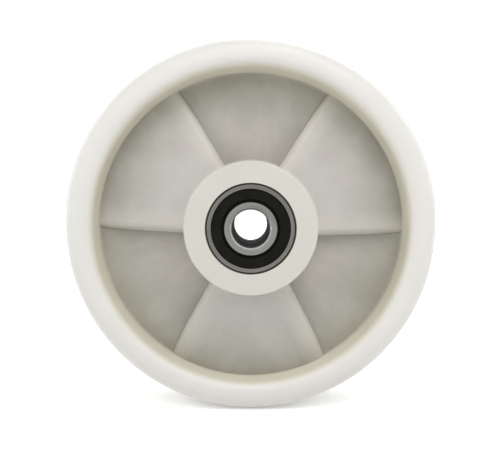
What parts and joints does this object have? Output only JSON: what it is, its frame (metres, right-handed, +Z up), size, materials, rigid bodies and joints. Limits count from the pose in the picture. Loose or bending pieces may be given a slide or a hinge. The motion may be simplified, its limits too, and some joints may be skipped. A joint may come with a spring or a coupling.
{
  "type": "nylon wheel",
  "caption": "White moulded nylon wheel with three raised web sectors a side and a plain hub, turning on sealed ball bearings around a steel spacer for an axle.",
  "frame": {"origin": "centre of the wheel, on the spin axis and midway between the two hub ends", "axes": "+Y along the spin axis, +Z up, the front of the wheel faces -Y"},
  "size_m": [0.2, 0.06, 0.2],
  "materials": {
    "natural_nylon": "natural milky nylon, moulded satin finish",
    "ring_steel": "ground bearing steel",
    "ball_steel": "polished bearing balls",
    "cage_steel": "pressed steel sheet",
    "seal_rubber": "matt black moulded rubber",
    "spacer_steel": "dark drawn steel tube"
  },
  "bodies": {
    "axle_core": {"spacer_tube": "spacer_steel", "front_inner_ring": "ring_steel", "rear_inner_ring": "ring_steel"},
    "wheel": {"nylon_wheel": "natural_nylon", "front_outer_ring": "ring_steel", "front_outboard_seal": "seal_rubber", "front_inboard_seal": "seal_rubber", "rear_outer_ring": "ring_steel", "rear_outboard_seal": "seal_rubber", "rear_inboard_seal": "seal_rubber"},
    "front_cage": {"front_cage_outer_half": "cage_steel", "front_cage_inner_half": "cage_steel", "front_cage_rivets": "cage_steel"},
    "front_ball_1": {"front_ball_1": "ball_steel"},
    "front_ball_2": {"front_ball_2": "ball_steel"},
    "front_ball_3": {"front_ball_3": "ball_steel"},
    "front_ball_4": {"front_ball_4": "ball_steel"},
    "front_ball_5": {"front_ball_5": "ball_steel"},
    "front_ball_6": {"front_ball_6": "ball_steel"},
    "front_ball_7": {"front_ball_7": "ball_steel"},
    "front_ball_8": {"front_ball_8": "ball_steel"},
    "rear_cage": {"rear_cage_outer_half": "cage_steel", "rear_cage_inner_half": "cage_steel", "rear_cage_rivets": "cage_steel"},
    "rear_ball_1": {"rear_ball_1": "ball_steel"},
    "rear_ball_2": {"rear_ball_2": "ball_steel"},
    "rear_ball_3": {"rear_ball_3": "ball_steel"},
    "rear_ball_4": {"rear_ball_4": "ball_steel"},
    "rear_ball_5": {"rear_ball_5": "ball_steel"},
    "rear_ball_6": {"rear_ball_6": "ball_steel"},
    "rear_ball_7": {"rear_ball_7": "ball_steel"},
    "rear_ball_8": {"rear_ball_8": "ball_steel"}
  },
  "joints": [
    {"name": "wheel_spin", "type": "hinge", "parent": "axle_core", "child": "wheel", "pos_m": [0, 0, 0], "axis": [0, 1, 0], "continuous": true},
    {"name": "front_cage_orbit", "type": "hinge", "parent": "axle_core", "child": "front_cage", "pos_m": [0, 0, 0], "axis": [0, 1, 0], "continuous": true},
    {"name": "front_ball_1_roll", "type": "hinge", "parent": "front_cage", "child": "front_ball_1", "pos_m": [0.01675, -0.0227, 0], "axis": [0, 1, 0], "continuous": true},
    {"name": "front_ball_2_roll", "type": "hinge", "parent": "front_cage", "child": "front_ball_2", "pos_m": [0.01184, -0.0227, 0.01184], "axis": [0, 1, 0], "continuous": true},
    {"name": "front_ball_3_roll", "type": "hinge", "parent": "front_cage", "child": "front_ball_3", "pos_m": [0, -0.0227, 0.01675], "axis": [0, 1, 0], "continuous": true},
    {"name": "front_ball_4_roll", "type": "hinge", "parent": "front_cage", "child": "front_ball_4", "pos_m": [-0.01184, -0.0227, 0.01184], "axis": [0, 1, 0], "continuous": true},
    {"name": "front_ball_5_roll", "type": "hinge", "parent": "front_cage", "child": "front_ball_5", "pos_m": [-0.01675, -0.0227, 0], "axis": [0, 1, 0], "continuous": true},
    {"name": "front_ball_6_roll", "type": "hinge", "parent": "front_cage", "child": "front_ball_6", "pos_m": [-0.01184, -0.0227, -0.01184], "axis": [0, 1, 0], "continuous": true},
    {"name": "front_ball_7_roll", "type": "hinge", "parent": "front_cage", "child": "front_ball_7", "pos_m": [0, -0.0227, -0.01675], "axis": [0, 1, 0], "continuous": true},
    {"name": "front_ball_8_roll", "type": "hinge", "parent": "front_cage", "child": "front_ball_8", "pos_m": [0.01184, -0.0227, -0.01184], "axis": [0, 1, 0], "continuous": true},
    {"name": "rear_cage_orbit", "type": "hinge", "parent": "axle_core", "child": "rear_cage", "pos_m": [0, 0, 0], "axis": [0, 1, 0], "continuous": true},
    {"name": "rear_ball_1_roll", "type": "hinge", "parent": "rear_cage", "child": "rear_ball_1", "pos_m": [0.01675, 0.0227, 0], "axis": [0, 1, 0], "continuous": true},
    {"name": "rear_ball_2_roll", "type": "hinge", "parent": "rear_cage", "child": "rear_ball_2", "pos_m": [0.01184, 0.0227, 0.01184], "axis": [0, 1, 0], "continuous": true},
    {"name": "rear_ball_3_roll", "type": "hinge", "parent": "rear_cage", "child": "rear_ball_3", "pos_m": [0, 0.0227, 0.01675], "axis": [0, 1, 0], "continuous": true},
    {"name": "rear_ball_4_roll", "type": "hinge", "parent": "rear_cage", "child": "rear_ball_4", "pos_m": [-0.01184, 0.0227, 0.01184], "axis": [0, 1, 0], "continuous": true},
    {"name": "rear_ball_5_roll", "type": "hinge", "parent": "rear_cage", "child": "rear_ball_5", "pos_m": [-0.01675, 0.0227, 0], "axis": [0, 1, 0], "continuous": true},
    {"name": "rear_ball_6_roll", "type": "hinge", "parent": "rear_cage", "child": "rear_ball_6", "pos_m": [-0.01184, 0.0227, -0.01184], "axis": [0, 1, 0], "continuous": true},
    {"name": "rear_ball_7_roll", "type": "hinge", "parent": "rear_cage", "child": "rear_ball_7", "pos_m": [0, 0.0227, -0.01675], "axis": [0, 1, 0], "continuous": true},
    {"name": "rear_ball_8_roll", "type": "hinge", "parent": "rear_cage", "child": "rear_ball_8", "pos_m": [0.01184, 0.0227, -0.01184], "axis": [0, 1, 0], "continuous": true}
  ],
  "couplings": [
    {"joint": "front_cage_orbit", "follows": "wheel_spin", "ratio": 0.61848},
    {"joint": "front_ball_1_roll", "follows": "wheel_spin", "ratio": 1.9916},
    {"joint": "front_ball_2_roll", "follows": "wheel_spin", "ratio": 1.9916},
    {"joint": "front_ball_3_roll", "follows": "wheel_spin", "ratio": 1.9916},
    {"joint": "front_ball_4_roll", "follows": "wheel_spin", "ratio": 1.9916},
    {"joint": "front_ball_5_roll", "follows": "wheel_spin", "ratio": 1.9916},
    {"joint": "front_ball_6_roll", "follows": "wheel_spin", "ratio": 1.9916},
    {"joint": "front_ball_7_roll", "follows": "wheel_spin", "ratio": 1.9916},
    {"joint": "front_ball_8_roll", "follows": "wheel_spin", "ratio": 1.9916},
    {"joint": "rear_cage_orbit", "follows": "wheel_spin", "ratio": 0.61848},
    {"joint": "rear_ball_1_roll", "follows": "wheel_spin", "ratio": 1.9916},
    {"joint": "rear_ball_2_roll", "follows": "wheel_spin", "ratio": 1.9916},
    {"joint": "rear_ball_3_roll", "follows": "wheel_spin", "ratio": 1.9916},
    {"joint": "rear_ball_4_roll", "follows": "wheel_spin", "ratio": 1.9916},
    {"joint": "rear_ball_5_roll", "follows": "wheel_spin", "ratio": 1.9916},
    {"joint": "rear_ball_6_roll", "follows": "wheel_spin", "ratio": 1.9916},
    {"joint": "rear_ball_7_roll", "follows": "wheel_spin", "ratio": 1.9916},
    {"joint": "rear_ball_8_roll", "follows": "wheel_spin", "ratio": 1.9916}
  ]
}
